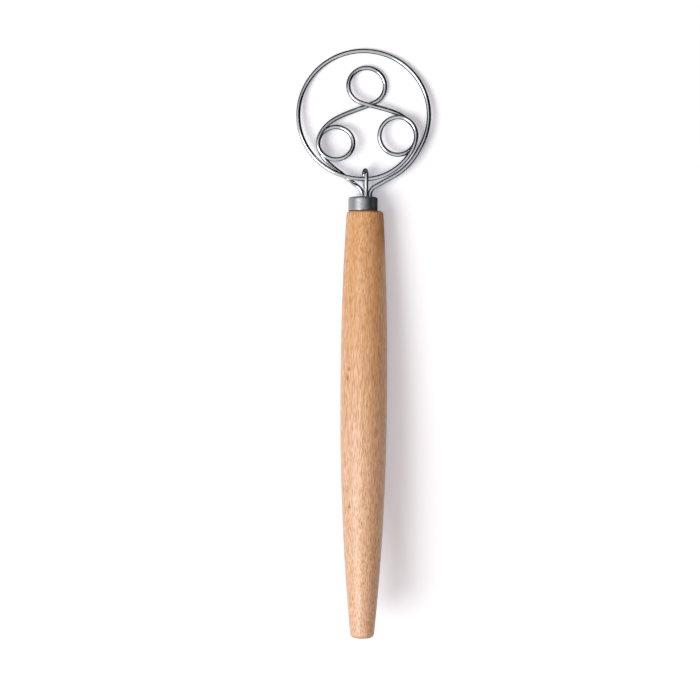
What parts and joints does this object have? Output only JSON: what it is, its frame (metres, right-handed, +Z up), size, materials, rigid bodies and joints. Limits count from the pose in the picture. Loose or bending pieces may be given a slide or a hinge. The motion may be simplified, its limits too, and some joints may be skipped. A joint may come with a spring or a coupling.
{
  "type": "batter whisk",
  "caption": "Flat batter whisk: a wire ring with loops bent inside it, held by a hook and a metal collar on a turned wooden handle, for stirring batter and dough.",
  "frame": {"origin": "on the ground under the middle of the whisk as it lies, at the bottom centre of its box", "axes": "+Y along the handle from its butt to the head, +Z up, square to the flat head, and +X to the right"},
  "size_m": [0.078, 0.3402, 0.027],
  "materials": {
    "beech": "sanded and lightly oiled",
    "collar_steel": "satin",
    "wire_steel": "bright drawn stainless steel",
    "hook_steel": "bright drawn stainless steel",
    "epoxy": "hardened adhesive"
  },
  "bodies": {
    "root": {"handle": "beech", "ferrule": "collar_steel", "whisk_wire": "wire_steel", "ring_hook": "hook_steel", "epoxy_plug": "epoxy"}
  },
  "joints": []
}
